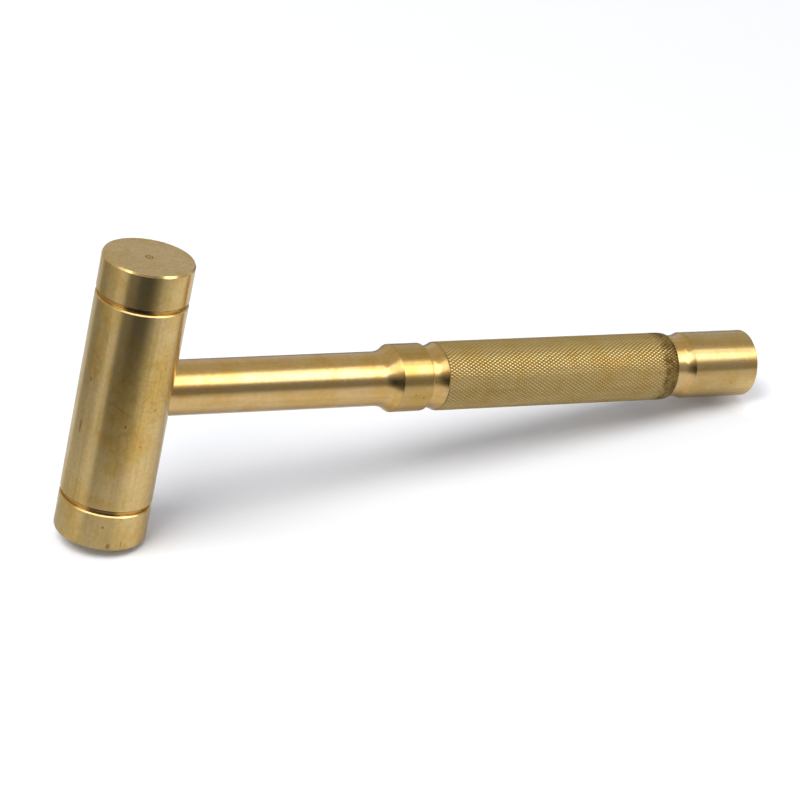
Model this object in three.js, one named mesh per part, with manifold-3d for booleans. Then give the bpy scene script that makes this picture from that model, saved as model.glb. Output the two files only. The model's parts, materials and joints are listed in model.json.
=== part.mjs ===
import * as THREE from 'three';
import { mergeVertices } from 'three/addons/utils/BufferGeometryUtils.js';
import Module from 'manifold-3d';

// A solid brass hammer, in millimetres. The head and the handle are each turned from one bar.
// The handle's shoulder sits in a counterbore in the head's side, and its stud in the hole behind.

// Head, measured along its own axis
const headDiameter = 31.75;
const headLength = 102;
const handleHeight = 53; // lower face to the handle's axis
const faceLand = 12.5; // plain band between a face and its groove
const headGrooveWidth = 2.4; // over both chamfers
const headGrooveDepth = 1.15;
const grooveLip = 0.45; // chamfer along both edges of a groove
const faceRim = 0.4; // chamfer round a face

// Turning mark at the middle of a face: a fine ring round a dot
const markRingDiameter = 2.8;
const markRingWidth = 0.4;
const markDotDiameter = 0.7;
const markDepth = 0.15;

// Handle, in order from the head to its end
const shankDiameter = 19;
const shankLength = 86.4; // head's surface to the collar
const collarLength = 12;
const collarGrooveLength = 6;
const gripLength = 96;
const pommelGrooveLength = 7.6;
const pommelLength = 26.7;
const barDiameter = 23.8; // collar and pommel
const gripDiameter = 24.2; // over the tops of the diamonds
const collarGrooveDiameter = 21.6; // floor of the groove between collar and grip
const pommelGrooveDiameter = 22; // floor of the groove between grip and pommel
const flankRadius = 10; // hollow flanks that face the head
const collarBreak = 0.5; // chamfer on the collar's free edge
const edgeBreak = 0.3; // chamfer on the shank's and pommel's free edges

// Knurl: about 60 diamonds run round the real grip, and fewer, larger ones stand for them here
const diamondCount = 30;
const knurlAngle = THREE.MathUtils.degToRad(30); // between a knurl line and the handle's axis
const knurlDepth = 0.5;

// Joint between head and handle
const counterboreDepth = 4.5; // below the head's surface
const studDiameter = 12.7;
const studLength = 18;
const studTipChamfer = 1;
const reliefDiameter = 10.4; // undercut between stud and shoulder
const reliefWidth = 2;
const seatGap = 0.3; // between every face of the joint
const drillPointAngle = THREE.MathUtils.degToRad(59); // half angle of the hole's pointed end

// Centre hole in the end of the pommel
const centreHoleDiameter = 3.2;
const centreHoleAngle = THREE.MathUtils.degToRad(30); // half angle of its cone
const pilotDiameter = 1.2;
const pilotDepth = 2;

const turnSegments = 2 * diamondCount;
const arcSteps = 6;

const headRadius = headDiameter / 2;
const shankRadius = shankDiameter / 2;
const barRadius = barDiameter / 2;
const gripRadius = gripDiameter / 2;
const studRadius = studDiameter / 2;
const collarGrooveRadius = collarGrooveDiameter / 2;
const pommelGrooveRadius = pommelGrooveDiameter / 2;

const brass = { metalness: 1, roughness: 0.32 };
const headBrass = new THREE.MeshStandardMaterial({ ...brass, name: 'head_brass', color: 0xb7985f });
const handleBrass = new THREE.MeshStandardMaterial({ ...brass, name: 'handle_brass', color: 0xbd9c5e });

const wasm = await Module();
wasm.setup();

// Revolves a profile of [radius, station] points about +Y. The stations rise, and both ends of the profile
// lie on the axis.
function turn(profile) {
  const points = profile.map(([radius, station]) => new THREE.Vector2(radius, station));
  return new THREE.LatheGeometry(points, turnSegments);
}

function toManifold(geometry) {
  const bare = geometry.clone();
  bare.deleteAttribute('normal');
  bare.deleteAttribute('uv');
  const merged = mergeVertices(bare, 1e-4);
  return new wasm.Manifold(new wasm.Mesh({
    numProp: 3,
    vertProperties: new Float32Array(merged.attributes.position.array),
    triVerts: new Uint32Array(merged.index.array),
  }));
}

function toGeometry(manifold) {
  const mesh = manifold.getMesh();
  const geometry = new THREE.BufferGeometry();
  geometry.setAttribute('position', new THREE.BufferAttribute(mesh.vertProperties, 3));
  geometry.setIndex(new THREE.BufferAttribute(mesh.triVerts, 1));
  geometry.computeVertexNormals();
  return geometry;
}

// One end of the head, from the middle of its face to the far lip of its groove.
// Each point is [radius, depth below the face].
function headEnd() {
  const ringOuter = markRingDiameter / 2;
  const ringInner = ringOuter - markRingWidth;
  const grooveEnd = faceLand + headGrooveWidth;
  const grooveFloor = headRadius - headGrooveDepth;
  return [
    [0, markDepth],
    [markDotDiameter / 2, 0],
    [ringInner, 0],
    [(ringInner + ringOuter) / 2, markDepth],
    [ringOuter, 0],
    [headRadius - faceRim, 0],
    [headRadius, faceRim],
    [headRadius, faceLand],
    [headRadius - grooveLip, faceLand + grooveLip],
    [grooveFloor, faceLand + grooveLip],
    [grooveFloor, grooveEnd - grooveLip],
    [headRadius - grooveLip, grooveEnd - grooveLip],
    [headRadius, grooveEnd],
  ];
}

// The hole across the head, drilled along +X from the handle's side: pointed end, plain hole, counterbore.
const shoulderStation = headRadius - counterboreDepth + seatGap;
const studTip = shoulderStation - studLength;

function jointHole() {
  const holeRadius = studRadius + seatGap;
  const holeEnd = studTip - seatGap;
  const counterboreFloor = shoulderStation - seatGap;
  const counterboreRadius = shankRadius + seatGap;
  return turn([
    [0, holeEnd - holeRadius / Math.tan(drillPointAngle)],
    [holeRadius, holeEnd],
    [holeRadius, counterboreFloor],
    [counterboreRadius, counterboreFloor],
    [counterboreRadius, 2 * headRadius],
    [0, 2 * headRadius],
  ]).rotateZ(-Math.PI / 2);
}

function buildHead() {
  const lowerFace = -handleHeight;
  const upperFace = headLength - handleHeight;
  const lower = headEnd().map(([radius, depth]) => [radius, lowerFace + depth]);
  const upper = headEnd().map(([radius, depth]) => [radius, upperFace - depth]).reverse();
  const bar = turn([...lower, ...upper]).rotateX(Math.PI / 2);
  return toGeometry(toManifold(bar).subtract(toManifold(jointHole())));
}

// A flank left by a round-nosed tool: it leaves the floor level with the axis and steepens towards its top.
function hollowFlank(floorRadius, topRadius, topStation) {
  const climb = (angle) => flankRadius * (1 - Math.cos(angle));
  const advance = (angle) => flankRadius * Math.sin(angle);
  const sweep = Math.acos(Math.max(0, 1 - (topRadius - floorRadius) / flankRadius));
  const footStation = topStation - advance(sweep);
  const points = [];
  for (let step = 0; step < arcSteps; step++) {
    const angle = sweep * step / arcSteps;
    points.push([floorRadius + climb(angle), footStation + advance(angle)]);
  }
  points.push([topRadius, topStation]);
  return points;
}

// Raises every second point of the knurled rows, and runs each cell's diagonal along the valley between
// two diamonds, so that every diamond is a four-sided pyramid.
function knurl(geometry, rowCount, firstRow, lastRow) {
  const position = geometry.attributes.position;
  const index = geometry.index;
  const lift = gripRadius / (gripRadius - knurlDepth);
  for (let column = 0; column <= turnSegments; column++) {
    for (let row = firstRow + 1; row < lastRow; row++) {
      if ((column + row - firstRow) % 2 === 0) continue;
      const vertex = column * rowCount + row;
      position.setX(vertex, position.getX(vertex) * lift);
      position.setZ(vertex, position.getZ(vertex) * lift);
    }
  }
  for (let column = 0; column < turnSegments; column++) {
    for (let row = firstRow; row < lastRow; row++) {
      if ((column + row - firstRow) % 2 !== 0) continue;
      const near = column * rowCount + row;
      const far = near + rowCount;
      const cell = 6 * (column * (rowCount - 1) + row);
      const corners = [near, far, far + 1, near, far + 1, near + 1];
      corners.forEach((vertex, corner) => index.setX(cell + corner, vertex));
    }
  }
  geometry.computeVertexNormals();
}

const collarStart = headRadius + shankLength;
const collarEnd = collarStart + collarLength;
const gripStart = collarEnd + collarGrooveLength;
const gripEnd = gripStart + gripLength;
const pommelStart = gripEnd + pommelGrooveLength;
const pommelEnd = pommelStart + pommelLength;

function buildHandle() {
  const reliefRadius = reliefDiameter / 2;
  const gripEdgeRadius = gripRadius - knurlDepth / 2;
  const centreHoleRadius = centreHoleDiameter / 2;
  const pilotRadius = pilotDiameter / 2;
  const centreHoleDepth = (centreHoleRadius - pilotRadius) / Math.tan(centreHoleAngle);
  const diamondWidth = Math.PI * gripDiameter / diamondCount;
  const diamondLength = diamondWidth / Math.tan(knurlAngle);
  const knurlRows = 2 * Math.round(gripLength / diamondLength);

  const towardsHead = [
    [0, studTip],
    [studRadius - studTipChamfer, studTip],
    [studRadius, studTip + studTipChamfer],
    [studRadius, shoulderStation - reliefWidth],
    [reliefRadius, shoulderStation - reliefWidth],
    [reliefRadius, shoulderStation],
    [shankRadius - edgeBreak, shoulderStation],
    [shankRadius, shoulderStation + edgeBreak],
    ...hollowFlank(shankRadius, barRadius, collarStart),
    [barRadius, collarEnd - collarBreak],
    [barRadius - collarBreak, collarEnd],
    [collarGrooveRadius, collarEnd],
    ...hollowFlank(collarGrooveRadius, gripEdgeRadius, gripStart),
  ];
  const grip = [];
  for (let row = 1; row < knurlRows; row++) {
    grip.push([gripRadius - knurlDepth, gripStart + gripLength * row / knurlRows]);
  }
  const towardsEnd = [
    [gripEdgeRadius, gripEnd],
    [pommelGrooveRadius, gripEnd],
    ...hollowFlank(pommelGrooveRadius, barRadius, pommelStart),
    [barRadius, pommelEnd - edgeBreak],
    [barRadius - edgeBreak, pommelEnd],
    [centreHoleRadius, pommelEnd],
    [pilotRadius, pommelEnd - centreHoleDepth],
    [pilotRadius, pommelEnd - centreHoleDepth - pilotDepth],
    [0, pommelEnd - centreHoleDepth - pilotDepth],
  ];

  const profile = [...towardsHead, ...grip, ...towardsEnd];
  const firstRow = towardsHead.length - 1;
  const geometry = turn(profile);
  knurl(geometry, profile.length, firstRow, firstRow + knurlRows);
  return geometry.rotateZ(-Math.PI / 2);
}

const head = new THREE.Mesh(buildHead(), headBrass);
head.name = 'head';
const handle = new THREE.Mesh(buildHandle(), handleBrass);
handle.name = 'handle';

// At rest the hammer tips towards its handle and stands on two points: the lower face's rim under the
// handle, and the pommel's end rim.
const headRest = new THREE.Vector2(headRadius - faceRim, -handleHeight);
const pommelRest = new THREE.Vector2(pommelEnd - edgeBreak, -barRadius);
const restTilt = pommelRest.clone().sub(headRest).angle();

const hammer = new THREE.Group();
hammer.add(head, handle);
hammer.rotation.y = restTilt;
hammer.updateMatrixWorld(true);
const extent = new THREE.Box3().setFromObject(hammer, true);
hammer.position.set(-(extent.min.x + extent.max.x) / 2, 0, -extent.min.z);

const part = new THREE.Group();
part.add(hammer);

export default part;
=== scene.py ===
import json
import math

import bpy
import numpy as np
from mathutils import Matrix, Vector


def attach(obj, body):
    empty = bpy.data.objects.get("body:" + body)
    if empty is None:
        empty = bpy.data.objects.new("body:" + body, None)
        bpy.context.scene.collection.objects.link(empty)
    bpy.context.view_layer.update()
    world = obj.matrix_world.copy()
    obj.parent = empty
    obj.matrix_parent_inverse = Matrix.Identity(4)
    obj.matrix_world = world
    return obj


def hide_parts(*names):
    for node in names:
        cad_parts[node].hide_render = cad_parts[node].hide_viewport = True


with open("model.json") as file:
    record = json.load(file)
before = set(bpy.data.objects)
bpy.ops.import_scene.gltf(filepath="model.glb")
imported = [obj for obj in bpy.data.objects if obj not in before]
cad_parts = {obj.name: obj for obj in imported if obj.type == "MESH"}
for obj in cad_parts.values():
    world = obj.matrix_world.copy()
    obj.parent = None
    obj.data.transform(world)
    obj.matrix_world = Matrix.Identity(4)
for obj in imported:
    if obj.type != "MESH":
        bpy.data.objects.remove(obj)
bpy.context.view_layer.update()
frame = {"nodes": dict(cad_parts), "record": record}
print("frame loaded:", sorted(frame["nodes"]))

# All shapes are worked out in millimetres in the hammer's own frame: the two axes cross at its
# origin, the handle runs along +X and the head along Z. The resting tilt then carries them into the
# shared frame.
hammer = {
    "upperFaceHeight": 49.0,
    "metresPerMillimetre": 0.001,
    "sameWithin": 0.0001,  # points that are closer become one
    "supportGap": 0.05,  # thin row beside each rounded edge, which keeps the flat next to it flat
    "supportFrom": 4.0,  # only sides longer than this many reaches of the edge's arc get such a row
    "arcShare": 0.45,  # the most that one arc may take of a side
    "arcStep": 14.0,  # degrees turned by one step of a rounded edge
    "sharpAngle": 20.0,  # degrees; edges that turn more are shown crisp
}

mounts = {mount["name"]: mount for mount in frame["record"]["mounts"]}
headAxis = Vector(mounts["upper_face"]["axis"])
restTilt = math.atan2(headAxis.x, headAxis.z)
upperFacePoint = Vector(mounts["upper_face"]["pos_m"])
crossing = upperFacePoint - headAxis * hammer["upperFaceHeight"] * hammer["metresPerMillimetre"]
crossing.y = 0.0


def placed(points):
    # x' = x cos t + z sin t and z' = z cos t - x sin t for the tilt t, then scaled and moved.
    cosTilt, sinTilt = math.cos(restTilt), math.sin(restTilt)
    turned = np.stack([
        points[:, 0] * cosTilt + points[:, 2] * sinTilt,
        points[:, 1],
        points[:, 2] * cosTilt - points[:, 0] * sinTilt,
    ], axis=1)
    return turned * hammer["metresPerMillimetre"] + np.array(crossing)


def roundedProfile(corners):
    # Each corner (radius, station, fillet) becomes an arc of its fillet radius r, which starts
    # r tan(turn / 2) before the corner. A thin support row lies just outside both of its ends.
    points = []
    last = len(corners) - 1
    for place, (radius, station, fillet) in enumerate(corners):
        here = complex(radius, station)
        if fillet == 0 or place in (0, last):
            points.append(here)
            continue
        before = here - complex(*corners[place - 1][:2])
        after = complex(*corners[place + 1][:2]) - here
        arrive, leave = before / abs(before), after / abs(after)
        turn = np.angle(leave / arrive)
        most = hammer["arcShare"] * min(abs(before), abs(after))
        reach = min(fillet * math.tan(abs(turn) / 2), most)
        roomy = hammer["supportFrom"] * reach
        steps = max(2, math.ceil(abs(math.degrees(turn)) / hammer["arcStep"]))
        start = here - arrive * reach
        toCentre = 1j * arrive * math.copysign(reach / math.tan(abs(turn) / 2), turn)
        arc = start + toCentre - toCentre * np.exp(1j * turn * np.arange(steps + 1) / steps)
        if abs(before) > roomy:
            points.append(start - arrive * min(hammer["supportGap"], reach))
        points.extend(arc)
        if abs(after) > roomy:
            points.append(here + leave * (reach + min(hammer["supportGap"], reach)))
    profile = np.array(points)
    return profile.real, profile.imag


def gridFaces(rows, columns, first=0):
    # Two triangles for each cell of a rows by columns grid of points, whose last column joins its
    # first. They face away from the axis when rows run along the axis and columns turn about it.
    row, column = np.meshgrid(np.arange(rows - 1), np.arange(columns), indexing="ij")
    beside = (column + 1) % columns
    a, b = row * columns + column, row * columns + beside
    c, d = a + columns, b + columns
    cells = np.stack([a, b, d, a, d, c], axis=-1)
    return cells.reshape(-1, 3) + first


def poleFaces(ring, pole, flipped):
    # A fan of triangles from one point to the ring round it.
    beside = np.roll(ring, -1)
    fan = np.stack([np.full(len(ring), pole), beside, ring], axis=1)
    return fan[:, ::-1] if flipped else fan


def softenEdges(mesh, softness):
    # An edge between two points of softness above 0, one of them 2, is shown smooth at any angle.
    ends = np.empty(2 * len(mesh.edges), dtype=np.int32)
    mesh.edges.foreach_get("vertices", ends)
    crisp = np.empty(len(mesh.edges), dtype=bool)
    mesh.attributes["sharp_edge"].data.foreach_get("value", crisp)
    atEnds = softness[ends.reshape(-1, 2)]
    crisp &= ~((atEnds.min(axis=1) > 0) & (atEnds.max(axis=1) == 2))
    mesh.attributes["sharp_edge"].data.foreach_set("value", crisp)


def buildPiece(name, points, faces, softness=None):
    # Points that coincide become one, so that seams are closed, and edges that turn sharply stay
    # crisp, apart from those between soft points.
    rounded = np.round(points / hammer["sameWithin"]).astype(np.int64)
    unique, index = np.unique(rounded, axis=0, return_inverse=True)
    index = index.ravel()
    kept = np.zeros((len(unique), 3))
    kept[index] = points
    faces = index[faces]
    whole = np.all(faces != np.roll(faces, 1, axis=1), axis=1)
    faces = faces[whole]
    mesh = bpy.data.meshes.new(name)
    mesh.vertices.add(len(kept))
    mesh.vertices.foreach_set("co", placed(kept).astype(np.float32).ravel())
    mesh.loops.add(faces.size)
    mesh.loops.foreach_set("vertex_index", faces.astype(np.int32).ravel())
    mesh.polygons.add(len(faces))
    mesh.polygons.foreach_set("loop_start", np.arange(0, faces.size, 3, dtype=np.int32))
    mesh.update(calc_edges=True)
    mesh.validate()
    mesh.polygons.foreach_set("use_smooth", np.ones(len(mesh.polygons), dtype=bool))
    mesh.set_sharp_from_angle(angle=math.radians(hammer["sharpAngle"]))
    if softness is not None:
        softnessKept = np.zeros(len(unique), dtype=np.int8)
        softnessKept[index] = softness
        softenEdges(mesh, softnessKept)
    piece = bpy.data.objects.new(name, mesh)
    bpy.context.scene.collection.objects.link(piece)
    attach(piece, "root")
    print(name, "has", len(mesh.vertices), "points and", len(mesh.polygons), "triangles")
    return piece


# The camera comes from a fit to the hammer's outline in the photo.
camera = {
    "place": (-0.65575, -1.16526, 0.75830),
    "right": (0.88295, -0.46786, 0.03878),
    "down": (-0.19510, -0.44082, -0.87614),
    "forward": (0.42701, 0.76602, -0.48050),
    "lens": 195.94,
    "sensor": 36.0,
    "clip": (0.05, 50.0),
}


def makeCamera():
    # The camera looks along its own -Z with +Y up, so its axes are right, -down and -forward.
    data = bpy.data.cameras.new("photoCamera")
    data.lens = camera["lens"]
    data.sensor_width = camera["sensor"]
    data.clip_start, data.clip_end = camera["clip"]
    view = bpy.data.objects.new("photoCamera", data)
    axes = (Vector(camera["right"]), -Vector(camera["down"]), -Vector(camera["forward"]))
    turned = Matrix(axes).transposed().to_4x4()
    view.matrix_world = Matrix.Translation(camera["place"]) @ turned
    bpy.context.scene.collection.objects.link(view)
    bpy.context.scene.camera = view


makeCamera()
print("camera set")


# Head: one turned bar, with its joint hole in the side. Lengths in millimetres.
head = {
    "radius": 15.875,
    "upperFace": 49.0,
    "lowerFace": -53.0,
    "columns": 360,
    "faceLand": 12.5,
    "grooveWidth": 2.4,
    "grooveDepth": 1.15,
    "grooveLip": 0.45,
    "grooveFillet": 0.2,
    "rimDepth": 0.38,
    "rimHeight": 0.76,
    "edgeFillet": 0.05,
    "rimWear": (0.27, 271.0, 11.0),  # depth, and its middle and width in degrees
    "rimWearReach": (0.3, 0.1),  # inwards from the rim and down from the face
    "dotRadius": 0.35,
    "ringInner": 1.0,
    "ringOuter": 1.4,
    "markDepth": 0.15,
    "markFillet": 0.04,
    "windowHalfAngle": 54,  # columns each side of the handle that the joint's patch replaces
    "windowHalfHeight": 13.0,
    "windowRows": 54,
    "patchRings": 8,
    "mouthBreak": 0.55,
    "mouthSteps": 6,
}

joint = {
    "shoulder": 11.675,
    "boreRadius": 9.8,
    "boreFloor": 11.375,
    "holeRadius": 6.65,
    "holeEnd": -6.625,
    "pointHalfAngle": 59.0,
}


def headEndCorners(face, inwards):
    # One end of the head from the middle of its face to the far lip of its groove. The groove has a
    # flat floor, straight walls and a chamfered lip on both sides.
    radius, lip = head["radius"], head["grooveLip"]
    fillet, markFillet, grooveFillet = head["edgeFillet"], head["markFillet"], head["grooveFillet"]
    floor = radius - head["grooveDepth"]
    mark = face + inwards * head["markDepth"]
    start = face + inwards * head["faceLand"]
    end = start + inwards * head["grooveWidth"]
    return [
        (0.0, mark, 0.0),
        (head["dotRadius"], face, markFillet),
        (head["ringInner"], face, markFillet),
        ((head["ringInner"] + head["ringOuter"]) / 2, mark, markFillet),
        (head["ringOuter"], face, markFillet),
        (radius - head["rimDepth"], face, fillet),
        (radius, face + inwards * head["rimHeight"], fillet),
        (radius, start, fillet),
        (radius - lip, start + inwards * lip, fillet),
        (floor, start + inwards * lip, grooveFillet),
        (floor, end - inwards * lip, grooveFillet),
        (radius - lip, end - inwards * lip, fillet),
        (radius, end, fillet),
    ]


def rimWear(ring, height, turn):
    # The upper face's rim is worn wider in one place, by a bell curve along its inner edge.
    deep, centre, width = head["rimWear"]
    inwards, down = head["rimWearReach"]
    atFace = height > head["upperFace"] - down
    atEdge = ring > head["radius"] - head["rimDepth"] - inwards
    away = (turn - math.radians(centre)) / math.radians(width)
    return (atFace & atEdge) * deep * np.exp(-away ** 2)


def headBar():
    # A profile turned about Z: x = r cos a, y = r sin a, z = station. Even rows fill the window.
    lower = headEndCorners(head["lowerFace"], 1.0)
    upper = headEndCorners(head["upperFace"], -1.0)[::-1]
    radius, station = roundedProfile(lower + upper)
    half = head["windowHalfHeight"]
    window = np.linspace(-half, half, head["windowRows"] + 1)
    split = np.searchsorted(station, 0.0)
    radius = np.concatenate([radius[:split], np.full(len(window), head["radius"]), radius[split:]])
    station = np.concatenate([station[:split], window, station[split:]])
    columns = head["columns"]
    angle = 2 * math.pi * np.arange(columns) / columns
    ring, turn = radius[1:-1, None], angle[None, :]
    height = station[1:-1, None]
    ring = ring - rimWear(ring, height, turn)
    points = np.stack([ring * np.cos(turn), ring * np.sin(turn), height + 0 * turn], axis=-1)
    points = points.reshape(-1, 3)
    rows = len(radius) - 2
    faces = gridFaces(rows, columns)
    cell = np.arange(len(faces)) // 2
    row, column = cell // columns, cell % columns
    reach = head["windowHalfAngle"]
    inRow = (row >= split - 1) & (row < split - 1 + head["windowRows"])
    inColumn = (column < reach) | (column >= columns - reach)
    faces = faces[~(inRow & inColumn)]
    poles = np.array([[0, 0, station[0]], [0, 0, station[-1]]])
    lowRing = np.arange(columns)
    faces = np.concatenate([
        faces,
        poleFaces(lowRing, len(points), False),
        poleFaces(lowRing + (rows - 1) * columns, len(points) + 1, True),
    ])
    return np.concatenate([points, poles]), faces


def windowOutline():
    # The window's edge as angles round the head and heights, anticlockwise seen from the handle.
    # Its points are those of the bar's grid.
    step = 2 * math.pi / head["columns"]
    reach, half, rows = head["windowHalfAngle"], head["windowHalfHeight"], head["windowRows"]
    across = np.arange(-reach, reach) * step
    up = -half + 2 * half * np.arange(rows) / rows
    side, level = np.full(rows, reach * step), np.full(2 * reach, half)
    return np.concatenate([across, side, -across, -side]), np.concatenate([-level, up, level, -up])


def jointHole():
    # Rings from the window's edge to the bore's mouth, over its broken edge, down the bore, and
    # along the hole to its pointed end. Each ring is given by x, y and z, and all have as many
    # points as the window.
    angle, height = windowOutline()
    radius, bore = head["radius"], joint["boreRadius"]
    edgeY = radius * np.sin(angle)
    around = np.arctan2(height, edgeY)
    mouth = bore + head["mouthBreak"]
    mouthAngle = np.arcsin(mouth * np.cos(around) / radius)
    mouthHeight = mouth * np.sin(around)
    rings = []
    for share in np.linspace(0, 1, head["patchRings"] + 1):
        a = angle + (mouthAngle - angle) * share
        z = height + (mouthHeight - height) * share
        rings.append(np.stack([radius * np.cos(a), radius * np.sin(a), z], axis=1))
    outer = rings[-1]
    cosAround, sinAround = np.cos(around), np.sin(around)
    cornerY = bore * cosAround
    corner = np.stack([np.sqrt(radius ** 2 - cornerY ** 2), cornerY, bore * sinAround], axis=1)
    inner = corner - np.array([head["mouthBreak"], 0, 0])
    for share in np.linspace(0, 1, head["mouthSteps"] + 1)[1:]:
        rest = 1 - share
        rings.append(outer * rest ** 2 + 2 * corner * share * rest + inner * share ** 2)
    holeRadius = joint["holeRadius"]
    deeper = [
        (joint["boreFloor"], bore),
        (joint["boreFloor"], holeRadius),
        (joint["holeEnd"], holeRadius),
    ]
    for x, r in deeper:
        rings.append(np.stack([np.full(len(around), x), r * cosAround, r * sinAround], axis=1))
    tip = joint["holeEnd"] - holeRadius / math.tan(math.radians(joint["pointHalfAngle"]))
    points = np.concatenate(rings)
    wide = len(around)
    faces = gridFaces(len(rings), wide)
    lastRing = np.arange(wide) + (len(rings) - 1) * wide
    faces = np.concatenate([faces, poleFaces(lastRing, len(points), True)])
    return np.concatenate([points, [[tip, 0, 0]]]), faces


def makeHead():
    # The hole's first ring has the same points as the bar's window, so both become one skin.
    barPoints, barFaces = headBar()
    holePoints, holeFaces = jointHole()
    points = np.concatenate([barPoints, holePoints])
    faces = np.concatenate([barFaces, holeFaces + len(barPoints)])
    piece = buildPiece("hammerHead", points, faces)
    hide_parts("head")
    return piece


headPiece = makeHead()


# Handle: one turned bar from stud to pommel, in millimetres, with stations from the head's axis.
handle = {
    "columns": 240,
    "studTip": -6.325,
    "studRadius": 6.35,
    "studChamfer": 1.0,
    "reliefRadius": 5.2,
    "reliefStart": 9.675,
    "studFillet": 0.1,
    "reliefFillet": 0.2,
    "shankRadius": 9.5,
    "shankBreak": 0.3,
    "barRadius": 11.9,
    "collarStart": 102.275,
    "collarEnd": 114.275,
    "collarFloor": 10.8,
    "collarFillet": 0.6,
    "collarFloorFillet": 0.3,
    "pommelFloor": 11.0,
    "pommelFloorFillet": 0.15,
    "flankRadius": 10.0,
    "flankSteps": 12,
    "pommelStart": 223.875,
    "pommelEnd": 250.575,
    "edgeFillet": 0.45,
    "flankFillet": 0.12,
    "centreHole": 1.6,
    "centreHoleFillet": 0.08,
    "coneDepth": 1.732,
    "pilot": 0.6,
    "pilotDepth": 2.0,
}

# Knurl: raised diamonds between two families of crossing grooves.
knurl = {
    "start": 120.275,
    "end": 216.275,
    "topRadius": 12.1,
    "edgeDrop": 0.25,  # how far below the tops the knurl's near end starts
    "depth": 0.27,
    "shoulder": 0.08,  # share of the depth still missing half way up a diamond's side
    "diamondsRound": 60,
    "diamondsAlong": 48,
    "rollOff": 2.6,  # length over which the far end is rounded down
    "rollDrop": 0.3,
    "softFrom": 0.3,  # edges that reach further than this from a groove's middle are shown smooth
}


def hollowFlank(floorRadius, topRadius, topStation, fillet):
    # A flank left by a round-nosed tool: an arc that leaves its floor level and then steepens.
    sweep = math.acos(1 - (topRadius - floorRadius) / handle["flankRadius"])
    foot = topStation - handle["flankRadius"] * math.sin(sweep)
    corners = []
    for angle in np.linspace(0, sweep, handle["flankSteps"] + 1)[:-1]:
        rise = handle["flankRadius"] * (1 - math.cos(angle))
        corners.append((floorRadius + rise, foot + handle["flankRadius"] * math.sin(angle), 0.0))
    corners.append((topRadius, topStation, fillet))
    return corners


def flankHeight(station):
    # The radius of the flank that cuts off the knurl's near end, carried on past its top.
    floor, edge = handle["collarFloor"], knurl["topRadius"] - knurl["edgeDrop"]
    sweep = math.acos(1 - (edge - floor) / handle["flankRadius"])
    foot = knurl["start"] - handle["flankRadius"] * math.sin(sweep)
    along = np.clip(station - foot, 0, handle["flankRadius"])
    return floor + handle["flankRadius"] - np.sqrt(handle["flankRadius"] ** 2 - along ** 2)


def toGroove(turns, lengths):
    # With diamonds counted as u round and v along, grooves lie where u + v or u - v is whole.
    rising, falling = turns + lengths, turns - lengths
    return np.minimum(np.abs(rising - np.round(rising)), np.abs(falling - np.round(falling)))


def knurlStation(lengths):
    # How far along the handle a count of diamonds from the knurl's near end comes.
    return knurl["start"] + lengths * (knurl["end"] - knurl["start"]) / knurl["diamondsAlong"]


def knurlRadius(turns, lengths):
    # A diamond rises with the distance to the nearest groove, first steeply and then gently.
    near = toGroove(turns, lengths)
    missing = np.interp(near, [0.0, 0.25, 0.5], [1.0, knurl["shoulder"], 0.0])
    station = knurlStation(lengths)
    roll = np.clip(1 - (knurl["end"] - station) / knurl["rollOff"], 0, 1)
    radius = knurl["topRadius"] - knurl["depth"] * missing - knurl["rollDrop"] * roll ** 2
    return np.minimum(radius, flankHeight(station))


def knurlFaces(rows, columns, first):
    # The grid's triangles, with each cell's diagonal along the groove that crosses or nears it.
    faces = gridFaces(rows, columns, first=first).reshape(rows - 1, columns, 2, 3)
    row, column = np.meshgrid(np.arange(rows - 1), np.arange(columns), indexing="ij")
    a, b = faces[..., 0, 0], faces[..., 0, 1]
    d, c = faces[..., 0, 2], faces[..., 1, 2]
    other = np.stack([np.stack([a, b, c], -1), np.stack([b, d, c], -1)], axis=2)
    flip = (row + column) % 2 == 1
    return np.where(flip[..., None, None], other, faces).reshape(-1, 3)


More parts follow.
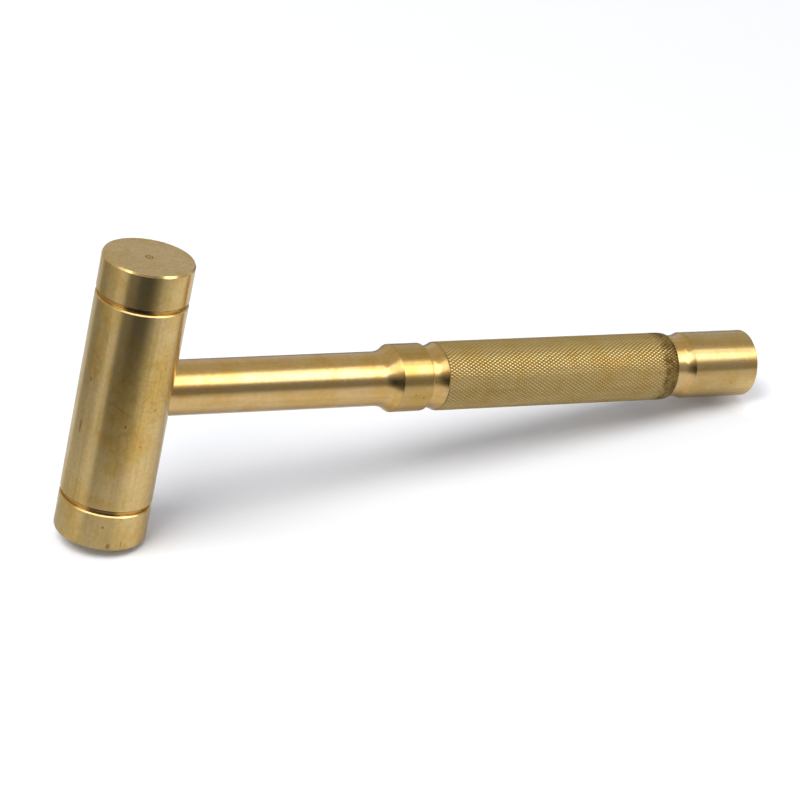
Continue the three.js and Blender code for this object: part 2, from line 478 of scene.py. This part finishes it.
def makeHandle():
    # A profile turned about X: y = r cos a, z = r sin a. On the grip, r also varies with a.
    studRadius, shankRadius = handle["studRadius"], handle["shankRadius"]
    shoulder, shoulderBreak = joint["shoulder"], handle["shankBreak"]
    fillet, flankFillet = handle["studFillet"], handle["flankFillet"]
    edgeRadius = knurl["topRadius"] - knurl["edgeDrop"]
    corners = [
        (0.0, handle["studTip"], 0.0),
        (studRadius - handle["studChamfer"], handle["studTip"], fillet),
        (studRadius, handle["studTip"] + handle["studChamfer"], fillet),
        (studRadius, handle["reliefStart"], fillet),
        (handle["reliefRadius"], handle["reliefStart"], fillet),
        (handle["reliefRadius"], shoulder, handle["reliefFillet"]),
        (shankRadius - shoulderBreak, shoulder, fillet),
        (shankRadius, shoulder + shoulderBreak, fillet),
        *hollowFlank(shankRadius, handle["barRadius"], handle["collarStart"], flankFillet),
        (handle["barRadius"], handle["collarEnd"], handle["collarFillet"]),
        (handle["collarFloor"], handle["collarEnd"], handle["collarFloorFillet"]),
        *hollowFlank(handle["collarFloor"], edgeRadius, knurl["start"], 0.0)[:-1],
    ]
    nearRadius, nearStation = roundedProfile(corners)
    pommelFloor, barRadius = handle["pommelFloor"], handle["barRadius"]
    pilotStart = handle["pommelEnd"] - handle["coneDepth"]
    farCorners = [
        (knurl["topRadius"] - knurl["depth"] - knurl["rollDrop"], knurl["end"], 0.0),
        (pommelFloor, knurl["end"], handle["pommelFloorFillet"]),
        *hollowFlank(pommelFloor, barRadius, handle["pommelStart"], flankFillet),
        (barRadius, handle["pommelEnd"], handle["edgeFillet"]),
        (handle["centreHole"], handle["pommelEnd"], handle["centreHoleFillet"]),
        (handle["pilot"], pilotStart, 0.0),
        (handle["pilot"], pilotStart - handle["pilotDepth"], 0.0),
        (0.0, pilotStart - handle["pilotDepth"], 0.0),
    ]
    farRadius, farStation = roundedProfile(farCorners)
    columns = handle["columns"]
    perDiamond = columns // knurl["diamondsRound"]
    lengths = np.arange(0, perDiamond * knurl["diamondsAlong"] + 1) / perDiamond
    turns = np.arange(columns) / perDiamond
    gripRadius = knurlRadius(turns[None, :], lengths[:, None])
    gripStation = knurlStation(lengths)
    radius = np.concatenate([
        np.repeat(nearRadius[1:, None], columns, axis=1),
        gripRadius,
        np.repeat(farRadius[1:-1, None], columns, axis=1),
    ])
    station = np.concatenate([nearStation[1:], gripStation, farStation[1:-1]])
    angle = 2 * math.pi * np.arange(columns) / columns
    points = np.stack([
        np.repeat(station[:, None], columns, axis=1),
        radius * np.cos(angle),
        radius * np.sin(angle),
    ], axis=-1).reshape(-1, 3)
    gripFirst, gripRows = len(nearRadius) - 1, len(gripStation)
    faces = np.concatenate([
        gridFaces(gripFirst + 1, columns),
        knurlFaces(gripRows, columns, gripFirst * columns),
        gridFaces(len(farRadius) - 1, columns, first=(gripFirst + gripRows - 1) * columns),
        poleFaces(np.arange(columns), len(points), False),
        poleFaces(np.arange(columns) + (len(station) - 1) * columns, len(points) + 1, True),
    ])
    poles = np.array([[nearStation[0], 0, 0], [farStation[-1], 0, 0]])
    softness = np.zeros((len(station), columns), dtype=np.int8)
    onDiamond = toGroove(turns[None, :], lengths[:, None]) > knurl["softFrom"]
    softness[gripFirst + 1:gripFirst + gripRows - 1] = 1 + onDiamond[1:-1]
    softness = np.append(softness.ravel(), (0, 0))
    points = np.concatenate([points, poles])
    piece = buildPiece("hammerHandle", points, faces, softness)
    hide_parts("handle")
    return piece


handlePiece = makeHandle()


class Wire:
    # One value that runs through a material. Arithmetic on it adds Math nodes.
    def __init__(self, recipe, socket):
        self.recipe = recipe
        self.socket = socket

    def math(self, operation, *others):
        values = dict(enumerate((self, *others)))
        return self.recipe.node("ShaderNodeMath", {"operation": operation}, values)

    def __add__(self, other):
        return self.math("ADD", other)

    __radd__ = __add__

    def __mul__(self, other):
        return self.math("MULTIPLY", other)

    __rmul__ = __mul__

    def __sub__(self, other):
        return self.math("SUBTRACT", other)

    def __rsub__(self, other):
        return (self * -1.0) + other

    def smooth(self, low, high):
        # Rises from 0 at low to 1 at high with gentle ends.
        settings = {"interpolation_type": "SMOOTHSTEP"}
        values = {"Value": self, "From Min": low, "From Max": high}
        return self.recipe.node("ShaderNodeMapRange", settings, values)

    def within(self, low, high, soft):
        # 1 between low and high, falling to 0 over the soft distance outside them.
        return self.smooth(low - soft, low) * (1.0 - self.smooth(high, high + soft))


class Recipe:
    # A node tree for a surface, the floor or the room. Every node comes from its node method.
    def __init__(self, tree):
        self.tree = tree
        self.tree.nodes.clear()

    def node(self, kind, settings=None, values=None, output=0):
        made = self.tree.nodes.new(kind)
        for name, value in (settings or {}).items():
            setattr(made, name, value)
        for key, value in (values or {}).items():
            if isinstance(value, Wire):
                self.tree.links.new(value.socket, made.inputs[key])
            else:
                made.inputs[key].default_value = value
        return Wire(self, made.outputs[output]) if made.outputs else made

    def mixColour(self, factor, first, second, blend="MIX"):
        settings = {"data_type": "RGBA", "blend_type": blend}
        return self.node("ShaderNodeMix", settings, {0: factor, 6: first, 7: second}, output=2)

    def noise(self, vector, scale, detail, roughness=0.5, distortion=0.0):
        values = {"Vector": vector, "Scale": scale, "Detail": detail, "Roughness": roughness}
        values["Distortion"] = distortion
        return self.node("ShaderNodeTexNoise", None, values)

    def pattern(self, vector, name):
        noise, edges = patterns[name]
        return self.noise(vector, *noise).smooth(*edges)

    def objectPlace(self):
        return self.node("ShaderNodeTexCoord", output="Object")

    def ray(self, kind):
        return self.node("ShaderNodeLightPath", output=kind)

    def vectorMath(self, operation, *vectors, output=0):
        settings = {"operation": operation}
        return self.node("ShaderNodeVectorMath", settings, dict(enumerate(vectors)), output)

    def stretched(self, vector, scale):
        return self.vectorMath("MULTIPLY", vector, scale)

    def part(self, vector, axis):
        return self.node("ShaderNodeSeparateXYZ", None, {0: vector}, output="XYZ".index(axis))


def newMaterial(name):
    material = bpy.data.materials.new(name)
    material.use_nodes = True
    return material, Recipe(material.node_tree)


# Brass, stains and the grooves' painted shade in linear colour, and how much each kind of wear
# shows.
brass = {
    "headColour": (0.80, 0.59, 0.26, 1.0),
    # painted light: the end faces' own tone, set to how the upper face takes the light
    "faceLightingTone": (0.78, 0.565, 0.25, 1.0),
    "colour": (0.765, 0.535, 0.24, 1.0),
    "barColour": (0.65, 0.465, 0.205, 1.0),
    "gripColour": (0.75, 0.565, 0.24, 1.0),
    # painted shade in the head's grooves: orange, and near black on the side that faces the camera
    "hollow": (0.60, 0.345, 0.09, 1.0),
    "hollowShade": (0.12, 0.07, 0.03, 1.0),
    # dark brown for the pits, and for the darker knurl valleys
    "pitAndValleyDark": (0.16, 0.10, 0.035, 1.0),
    "stain": (0.30, 0.15, 0.05, 1.0),
    "dirt": (0.17, 0.105, 0.03, 1.0),
    "ochre": (0.93, 0.84, 0.55, 1.0),  # the three tints multiply the brass's colour
    "copper": (1.0, 0.92, 0.94, 1.0),
    "dull": (0.72, 0.72, 0.74, 1.0),
    "ochreShare": 0.75,
    "copperShare": 0.6,
    "streakShare": 0.4,
    "pitShare": 0.8,
    "pitSpacing": 5.0,  # millimetres
    "pitEdge": (0.03, 0.075),  # from a pit's middle, in shares of the spacing
    "pitDepth": 2.0,
    "roughening": (0.04, 0.04, 0.2),  # by ochre, streaks and pits
    "bumpDistance": 0.00001,  # metres
    "turningNoise": (1.0, 3.0, 0.7),
}

# Patterns over the surface. Each is a noise, given by its scale per millimetre, detail, roughness
# and distortion, and the two values between which it sets in.
patterns = {
    "ochre": ((1 / 11, 4.0, 0.6, 0.4), (0.42, 0.68)),
    "copper": ((1 / 7, 3.0, 0.55, 0.6), (0.48, 0.7)),
    "streaks": ((1.0, 3.0, 0.65), (0.35, 0.75)),
    "mottle": ((0.8, 3.0, 0.7), (0.3, 0.7)),
    "pitted": ((1 / 9, 1.0), (0.55, 0.6)),
}

# Wear on the head, in millimetres. Marks that stand out are given by centre, width and length.
headWear = {
    "roughness": 0.19,
    "streaks": (0.9, 0.9, 0.03),  # how fast they change along each axis
    "turning": (0.05, 0.05, 7.0),
    "turningHeight": 0.6,
    "mottle": 0.5,
    "faceEdge": (0.8, 0.5),  # inwards from the side
    "pits": [
        ((-6.9, -14.3, -44.4), 0.5, 0.6),
        ((4.3, -15.3, -0.4), 0.4, 0.4),
        ((0.9, -15.8, -13.7), 0.4, 0.4),
        ((-5.6, -14.9, -6.3), 0.45, 0.7),
        ((-15.5, -3.5, 6.4), 0.5, 1.0),
        ((-15.7, -2.4, -11.2), 0.5, 2.8),
        ((-4.3, -15.3, -51.3), 0.7, 1.1),
        ((0.2, -15.9, -50.6), 0.2, 2.2),
    ],
    "ochre": [
        ((-5.0, -15.0, -2.0), 9.0, 22.0),
        ((6.0, -14.5, 8.0), 6.0, 14.0),
        ((-15.0, -5.0, 18.0), 3.5, 14.0),
    ],
    "markEdge": (0.5, 1.3),  # in shares of a mark's size
    "pitShare": 0.7,
    "ochreShare": 0.65,
    "swirls": (0.13, 1.5, 0.4, 1.2),  # lines of tarnish where this noise is near its middle
    "swirlWidth": 0.07,
    "swirlShare": 0.25,
    # Painted shade in the grooves: where it lies, which side it darkens towards, and how much
    # shows.
    "grooveEdge": 0.25,
    "grooveBand": (12.0, 16.0, 0.5),  # from where to where below a face, and softness
    "grooveShade": (-0.5, -0.866),  # towards the side where the grooves' painted shade is darkest
    "shadeEdge": (13.5, 14.4),
    "grooveShadeShare": 0.85,
    "ringSoft": 0.2,
    "dotEdge": (0.3, 0.6),
    "ringShare": 0.8,
}

handleWear = {
    "roughness": 0.2,
    "gripRoughness": 0.1,  # added on the grip
    "streaks": (0.03, 0.7, 0.7),
    "turning": (7.0, 0.05, 0.05),
    "turningHeight": 0.35,
    "mottle": 0.3,
    "barEdge": (0.5, 0.1),  # inwards from the bar's side
    "gripEdge": 0.1,
    "collarEdge": (2.0, 1.0),  # before the collar, and softness
    "collarOchre": 0.5,
    "valleyHeight": 0.2,
    "valleyShare": 0.8,
    "ragged": (0.5, 4.0, 0.65),  # the noise that breaks up the dirt at the grip's far end
    "raggedReach": 7.0,
    "dirtEdge": (4.5, 0.5),  # before the grip's end
    "dirtPatches": (0.4, 0.6),
    "dirtShare": (0.55, 0.4),  # everywhere, and in patches besides
}


def hammerCoordinates(recipe):
    # Object coordinates turned and scaled into the hammer's own millimetres.
    values = {
        "Vector": recipe.objectPlace(),
        "Location": crossing,
        "Rotation": (0.0, restTilt, 0.0),
        "Scale": (hammer["metresPerMillimetre"],) * 3,
    }
    return recipe.node("ShaderNodeMapping", {"vector_type": "TEXTURE"}, values)


def distanceFromAxis(recipe, place, axis):
    # The square root of the sum of the two squares across the axis.
    first, second = [recipe.part(place, name) for name in "XYZ" if name != axis]
    return (first * first + second * second).math("SQRT")


def spots(recipe, place, marks):
    # 1 inside any of the marks, each an ellipsoid whose length runs along the head's axis.
    total = 0.0
    for centre, width, length in marks:
        offset = recipe.vectorMath("SUBTRACT", place, centre)
        scaled = recipe.stretched(offset, (1 / width, 1 / width, 1 / length))
        reach = recipe.vectorMath("LENGTH", scaled, output=1)
        total = (1.0 - reach.smooth(*headWear["markEdge"])) + total
    return total.math("MINIMUM", 1.0)


def brassFinish(recipe, place, wear, base, ochreAlso):
    # The wear that both pieces share on a base colour: patches of ochre and of copper tint, dull
    # streaks and mottling, and sparse dark pits. Returns the colour, the extra roughness and the
    # pits' mask.
    ochre = recipe.pattern(place, "ochre")
    copper = recipe.pattern(place, "copper")
    streaks = recipe.pattern(recipe.stretched(place, wear["streaks"]), "streaks")
    spacing = {"Vector": place, "Scale": 1 / brass["pitSpacing"], "Randomness": 1.0}
    fromPit = recipe.node("ShaderNodeTexVoronoi", {"feature": "F1"}, spacing)
    pits = (1.0 - fromPit.smooth(*brass["pitEdge"])) * recipe.pattern(place, "pitted")
    ochre = (ochre * brass["ochreShare"] + ochreAlso).math("MINIMUM", 1.0)
    mottle = recipe.pattern(place, "mottle") * wear["mottle"]
    colour = recipe.mixColour(ochre, base, brass["ochre"], "MULTIPLY")
    colour = recipe.mixColour(copper * brass["copperShare"], colour, brass["copper"], "MULTIPLY")
    colour = recipe.mixColour(streaks * brass["streakShare"], colour, brass["dull"], "MULTIPLY")
    colour = recipe.mixColour(mottle, colour, brass["dull"], "MULTIPLY")
    colour = recipe.mixColour(pits * brass["pitShare"], colour, brass["pitAndValleyDark"])
    fromOchre, fromStreaks, fromPits = brass["roughening"]
    extra = ochre * fromOchre + streaks * fromStreaks + pits * fromPits
    return colour, extra, pits


def turningMarks(recipe, place, stretch):
    # Fine rings left by the turning tool: noise that changes fast along the axis, barely round it.
    return recipe.noise(recipe.stretched(place, stretch), *brass["turningNoise"])


def surface(recipe, colour, roughness, height):
    # Bare metal whose bump follows the height.
    bump = {"Strength": 1.0, "Distance": brass["bumpDistance"], "Height": height}
    values = {
        "Base Color": colour,
        "Metallic": 1.0,
        "Roughness": roughness,
        "Normal": recipe.node("ShaderNodeBump", None, bump),
    }
    shader = recipe.node("ShaderNodeBsdfPrincipled", None, values)
    recipe.node("ShaderNodeOutputMaterial", None, {"Surface": shader})


def paintedGrooveShade(recipe, place, reach):
    # How far a point lies in one of the grooves, and the colour of the painted shade there, which
    # darkens towards one side of the head.
    lip = head["radius"] - head["grooveLip"]
    near, far, soft = headWear["grooveBand"]
    along = recipe.part(place, "Z")
    nearUpper = along.within(head["upperFace"] - far, head["upperFace"] - near, soft)
    nearLower = along.within(head["lowerFace"] + near, head["lowerFace"] + far, soft)
    inGroove = (1.0 - reach.smooth(lip - headWear["grooveEdge"], lip)) * (nearUpper + nearLower)
    east, north = headWear["grooveShade"]
    towardsShade = recipe.part(place, "X") * east + recipe.part(place, "Y") * north
    shade = towardsShade.smooth(*headWear["shadeEdge"])
    return inGroove, recipe.mixColour(shade, brass["hollow"], brass["hollowShade"])


def headBrass():
    material, recipe = newMaterial("headBrass")
    place = hammerCoordinates(recipe)
    reach = distanceFromAxis(recipe, place, "Z")
    # The end faces get their own tone, as painted light set to how the upper face takes the light.
    fromSide, full = headWear["faceEdge"]
    onFace = 1.0 - reach.smooth(head["radius"] - fromSide, head["radius"] - full)
    base = recipe.mixColour(onFace, brass["headColour"], brass["faceLightingTone"])
    patches = spots(recipe, place, headWear["ochre"])
    ochreAlso = patches * headWear["ochreShare"]
    colour, extra, pits = brassFinish(recipe, place, headWear, base, ochreAlso)
    fromLine = (recipe.noise(place, *headWear["swirls"]) - 0.5).math("ABSOLUTE")
    swirls = 1.0 - fromLine.smooth(0.0, headWear["swirlWidth"])
    colour = recipe.mixColour(swirls * patches * headWear["swirlShare"], colour, brass["stain"])
    # Painted shade in the grooves, darkest on the side towards the camera.
    inGroove, hollow = paintedGrooveShade(recipe, place, reach)
    colour = recipe.mixColour(inGroove * headWear["grooveShadeShare"], colour, hollow)
    onRing = reach.within(head["ringInner"], head["ringOuter"], headWear["ringSoft"])
    inMark = onRing + (1.0 - reach.smooth(*headWear["dotEdge"]))
    colour = recipe.mixColour(inMark * headWear["ringShare"], colour, brass["stain"])
    largePits = spots(recipe, place, headWear["pits"])
    colour = recipe.mixColour(largePits * headWear["pitShare"], colour, brass["stain"])
    marks = turningMarks(recipe, place, headWear["turning"])
    height = marks * headWear["turningHeight"] - pits * brass["pitDepth"] - largePits
    surface(recipe, colour, extra + headWear["roughness"], height)
    return material


def gripDirt(recipe, place, along):
    # Dirt at the far end of the grip, with a ragged edge and patches.
    ragged = recipe.noise(place, *handleWear["ragged"])
    start, full = handleWear["dirtEdge"]
    edge = ragged * handleWear["raggedReach"] + along
    everywhere, inPatches = handleWear["dirtShare"]
    amount = ragged.smooth(*handleWear["dirtPatches"]) * inPatches + everywhere
    return edge.smooth(knurl["end"] - start, knurl["end"] - full) * amount


def handleBrass():
    material, recipe = newMaterial("handleBrass")
    place = hammerCoordinates(recipe)
    along = recipe.part(place, "X")
    reach = distanceFromAxis(recipe, place, "X")
    fromSide, full = handleWear["barEdge"]
    onBar = reach.smooth(handle["barRadius"] - fromSide, handle["barRadius"] - full)
    edge = handleWear["gripEdge"]
    onGrip = along.within(knurl["start"] + edge, knurl["end"], edge)
    before, soft = handleWear["collarEdge"]
    onCollar = along.within(handle["collarStart"] - before, handle["collarEnd"], soft)
    base = recipe.mixColour(onBar, brass["colour"], brass["barColour"])
    base = recipe.mixColour(onGrip, base, brass["gripColour"])
    ochreAlso = onCollar * handleWear["collarOchre"]
    colour, extra, pits = brassFinish(recipe, place, handleWear, base, ochreAlso)
    # Darker in the knurl's valleys, up to valleyHeight above their floor.
    low = knurl["topRadius"] - knurl["depth"]
    valley = (1.0 - reach.smooth(low, low + handleWear["valleyHeight"])) * onGrip
    colour = recipe.mixColour(valley * handleWear["valleyShare"], colour, brass["pitAndValleyDark"])
    colour = recipe.mixColour(gripDirt(recipe, place, along) * onGrip, colour, brass["dirt"])
    marks = turningMarks(recipe, place, handleWear["turning"])
    onSmooth = 1.0 - onGrip
    height = marks * onSmooth * handleWear["turningHeight"] - pits * brass["pitDepth"]
    roughness = extra + handleWear["roughness"] + onGrip * handleWear["gripRoughness"]
    surface(recipe, colour, roughness, height)
    return material


headPiece.data.materials.append(headBrass())
handlePiece.data.materials.append(handleBrass())
print("brass laid on")


# Studio: a white floor that a high lamp at the left lights, inside a grey tent that only the metal
# sees. A bank above the camera and a box on either side shine in the metal, and the tent is open
# and dark round the camera. Azimuths run in degrees from +Y towards +X, and lengths are in metres.
studio = {
    "white": (1.0, 1.0, 1.0, 1.0),
    "floorHalf": 6.0,
    "floorColour": (0.935, 0.945, 0.975, 1.0),
    "floorLift": (0.03, 0.16, (0.35, 1.0)),  # the floor's own glow near and far, and where it grows
    "paintedLightPastPommel": ((0.158, 0.0, 0.0), (0.023, 0.038), 0.27),  # painted light: more glow past the pommel's end, which washes out the shadow there
    "roomLevel": 0.54,
    "roomColour": (0.97, 1.0, 1.06, 1.0),
    "lampColour": (1.02, 1.0, 0.96),
    "target": (0.0, 0.0, 0.04),
    "lamp": {
        "azimuth": -105,
        "elevation": 60,
        "distance": 2.2,
        "size": (1.6, 1.6),
        "level": 6.0,
    },
    "leftBox": {
        "azimuth": -95,
        "elevation": 45,
        "distance": 1.1,
        "size": (0.6, 0.4),
        "level": 2.4,
    },
    "rightBox": {
        "azimuth": 128,
        "elevation": 38,
        "distance": 1.1,
        "size": (0.77, 0.63),
        "level": 1.65,
    },
    "bank": {
        "azimuth": -157,
        "above": 0.9,
        "near": 0.18,
        "far": 0.9,
        "right": 1.7,
        "left": 0.85,
        "level": 1.38,
    },
    "tentRadius": 3.0,
    "tentGrid": (24, 72),
    "tentLevel": 0.56,
    "crown": (20.0, 45.0, 0.04),  # the tent loses the last value between these elevations
    "crownColour": (1.0, 0.94, 0.74, 1.0),
}

# How grey the metal sees the floor. Each sector round the head's foot starts between its two
# azimuths, and its grey goes from the first value to the second between its two distances.
floorSectors = [
    ((152.0, 193.0), 0.49, 0.03, (0.03, 0.25)),
    ((214.0, 230.0), 0.45, 0.10, (0.0, 0.25)),
    ((244.0, 256.0), 0.565, 0.45, (0.1, 0.25)),
    ((268.0, 284.0), 0.47, 0.30, (0.05, 0.22)),
    ((298.0, 312.0), 0.44, 0.22, (0.05, 0.22)),
    ((330.0, 342.0), 0.62, 0.48, (0.1, 0.24)),
]

floorInMetal = {
    "share": 0.97,
    "behindFoot": 0.58,
    "rightEdge": (20.0, 95.0),
    "right": (0.74, 0.13, (0.05, 0.38)),  # its grey falls with the distance in front of the handle
    "behindHandle": (0.12, (0.06, 0.2), (0.0, 0.1)),
}

opening = {
    "rightEdge": (100.0, 190.0),
    "leftEdge": (228.0, 258.0),
    "topEdge": (18.0, 46.0),
    "depth": 0.54,
}


def towards(azimuth, elevation):
    # x = sin a cos e, y = cos a cos e and z = sin e.
    a, e = math.radians(azimuth), math.radians(elevation)
    return Vector((math.sin(a) * math.cos(e), math.cos(a) * math.cos(e), math.sin(e)))


def areaLamp(name, place, axes, size, level, shape="RECTANGLE"):
    # An even light, turned by its axes across, up and backwards. Its power is level * pi * area.
    width, height = size
    lamp = bpy.data.lights.new(name, "AREA")
    lamp.shape = shape
    lamp.size = width
    lamp.size_y = height
    lamp.energy = level * math.pi * width * height * (math.pi / 4 if shape == "DISK" else 1)
    holder = bpy.data.objects.new(name, lamp)
    holder.matrix_world = Matrix.Translation(place) @ Matrix(axes).transposed().to_4x4()
    holder.visible_camera = False
    bpy.context.scene.collection.objects.link(holder)
    return holder


def softBox(name, box, shape="RECTANGLE"):
    # A light that stands in the given direction from the target and faces it.
    direction = towards(box["azimuth"], box["elevation"])
    place = Vector(studio["target"]) + direction * box["distance"]
    across = Vector((0, 0, 1)).cross(direction).normalized()
    axes = (across, direction.cross(across), direction)
    return areaLamp(name, place, axes, box["size"], box["level"], shape)


def lightBank(name, bank):
    # A long level bank above the camera's side, whose near and far edges lie square to its azimuth.
    up = Vector((0, 0, 1))
    outwards = towards(bank["azimuth"], 0)
    right = up.cross(outwards)
    place = Vector(studio["target"]) + up * bank["above"]
    place += outwards * (bank["near"] + bank["far"]) / 2
    place += right * (bank["right"] - bank["left"]) / 2
    size = (bank["right"] + bank["left"], bank["far"] - bank["near"])
    return areaLamp(name, place, (right, outwards, up), size, bank["level"])


def stageMesh(name, points, faces, material):
    mesh = bpy.data.meshes.new(name)
    mesh.from_pydata(points, [], faces)
    mesh.materials.append(material)
    item = bpy.data.objects.new(name, mesh)
    bpy.context.scene.collection.objects.link(item)
    return item


def rayMasks(recipe):
    # 1 for rays that show something in the metal, and 1 for all rays that show it to the camera.
    direct, glossy, glass = [recipe.ray("Is " + kind + " Ray")
                             for kind in ("Camera", "Glossy", "Transmission")]
    return glossy, direct.math("MAXIMUM", glossy).math("MAXIMUM", glass)


def azimuthOf(east, north):
    # The azimuth in degrees from 0 to 360, from +Y towards +X.
    return (east * -1.0).math("ARCTAN2", north * -1.0).math("DEGREES") + 180.0


def blend(share, first, second):
    # The first value where the share is 0, and the second where it is 1.
    return share * (second - first) + first


def floorTone(recipe):
    # The floor's grey in the metal, from its place on the floor.
    place = recipe.objectPlace()
    east, north = recipe.part(place, "X"), recipe.part(place, "Y")
    footX = crossing.x - crossing.z * math.tan(restTilt)
    fromFoot = east - footX
    distance = (fromFoot * fromFoot + north * north).math("SQRT")
    azimuth = azimuthOf(fromFoot, north)
    nearGrey, farGrey, fall = floorInMetal["right"]
    right = blend((north * -1.0).smooth(*fall), nearGrey, farGrey)
    tone = blend(azimuth.smooth(*floorInMetal["rightEdge"]), floorInMetal["behindFoot"], right)
    for edge, nearGrey, farGrey, fall in floorSectors:
        grey = blend(distance.smooth(*fall), nearGrey, farGrey)
        tone = blend(azimuth.smooth(*edge), tone, grey)
    dark, behind, beside = floorInMetal["behindHandle"]
    return blend(north.smooth(*behind) * east.smooth(*beside), tone, dark) * floorInMetal["share"]


def floorGlow(recipe):
    # The floor's own glow grows with the distance from its middle and keeps the backdrop white.
    near, far, reach = studio["floorLift"]
    middle, edge, more = studio["paintedLightPastPommel"]
    place = recipe.objectPlace()
    fromMiddle = recipe.vectorMath("LENGTH", place, output=1)
    fromPaintedLight = recipe.vectorMath("DISTANCE", place, middle, output=1)
    # Past the pommel's end the floor glows more: painted light that washes out the hammer's shadow
    # there.
    return blend(fromMiddle.smooth(*reach), near, far) + (1.0 - fromPaintedLight.smooth(*edge)) * more


def makeFloor():
    # White with a slight glow of its own, for every ray that shows it. The metal sees it greyer.
    material, recipe = newMaterial("floorPaper")
    glossy, shown = rayMasks(recipe)
    grey = recipe.node("ShaderNodeCombineColor", None, dict.fromkeys(range(3), floorTone(recipe)))
    colour = recipe.mixColour(glossy, studio["floorColour"], grey)
    matt = recipe.node("ShaderNodeBsdfDiffuse", None, {"Color": colour})
    lift = recipe.node("ShaderNodeEmission", None, {"Strength": shown * floorGlow(recipe)})
    both = recipe.node("ShaderNodeAddShader", None, {0: matt, 1: lift})
    recipe.node("ShaderNodeOutputMaterial", None, {"Surface": both})
    half = studio["floorHalf"]
    points = [(-half, -half, 0), (half, -half, 0), (half, half, 0), (-half, half, 0)]
    stageMesh("studioFloor", points, [(0, 1, 2, 3)], material)


def tentGlow():
    # The tent's level, less its depth inside the opening, from the direction of its place. It is
    # dark to rays that have met the floor, so the hammer throws none of its light there.
    material, recipe = newMaterial("tentCloth")
    place = recipe.objectPlace()
    east, north, up = [recipe.part(place, axis) for axis in "XYZ"]
    azimuth = azimuthOf(east, north)
    elevation = (up * (1 / studio["tentRadius"])).math("ARCSINE").math("DEGREES")
    inside = azimuth.smooth(*opening["rightEdge"]) * (1.0 - azimuth.smooth(*opening["leftEdge"]))
    inside = inside * (1.0 - elevation.smooth(*opening["topEdge"]))
    start, end, less = studio["crown"]
    high = elevation.smooth(start, end)
    level = inside * -opening["depth"] + studio["tentLevel"] - high * less
    level = level * (1.0 - recipe.ray("Diffuse Depth").math("MINIMUM", 1.0))
    colour = recipe.mixColour(high, studio["white"], studio["crownColour"])
    shader = recipe.node("ShaderNodeEmission", None, {"Color": colour, "Strength": level})
    recipe.node("ShaderNodeOutputMaterial", None, {"Surface": shader})
    return material


def makeTent():
    # Half a sphere over the floor: x = R cos e sin a, y = R cos e cos a, z = R sin e.
    rows, columns = studio["tentGrid"]
    radius = studio["tentRadius"]
    elevation = np.linspace(0, math.pi / 2, rows + 1)[:-1, None]
    azimuth = 2 * math.pi * np.arange(columns)[None, :] / columns
    ring = radius * np.cos(elevation)
    height = radius * np.sin(elevation) + 0 * azimuth
    points = np.stack([ring * np.sin(azimuth), ring * np.cos(azimuth), height], axis=-1)
    points = np.concatenate([points.reshape(-1, 3), [[0, 0, radius]]])
    faces = gridFaces(rows, columns).tolist()
    faces += poleFaces(np.arange(columns) + (rows - 1) * columns, rows * columns, False).tolist()
    tent = stageMesh("greyTent", points.tolist(), faces, tentGlow())
    tent.visible_camera = False
    tent.visible_diffuse = False
    tent.visible_shadow = False
    tent.visible_transmission = False


def makeRoom():
    # An even grey room that lights the hammer, and is pure white wherever it is shown.
    world = bpy.data.worlds.new("studioRoom")
    world.use_nodes = True
    bpy.context.scene.world = world
    recipe = Recipe(world.node_tree)
    glossy, shown = rayMasks(recipe)
    strength = shown * (1.0 - studio["roomLevel"]) + studio["roomLevel"]
    colour = recipe.mixColour(shown, studio["roomColour"], studio["white"])
    shader = recipe.node("ShaderNodeBackground", None, {"Color": colour, "Strength": strength})
    recipe.node("ShaderNodeOutputWorld", None, {"Surface": shader})


makeFloor()
makeTent()
makeRoom()
floorLamp = softBox("floorLamp", studio["lamp"], "DISK")
floorLamp.visible_glossy = False
floorLamp.data.color = studio["lampColour"]
softBox("rightBox", studio["rightBox"]).visible_diffuse = False
softBox("leftBox", studio["leftBox"]).visible_diffuse = False
lightBank("lightBank", studio["bank"]).visible_diffuse = False
bpy.context.scene.view_settings.view_transform = "Standard"
print("studio lit")
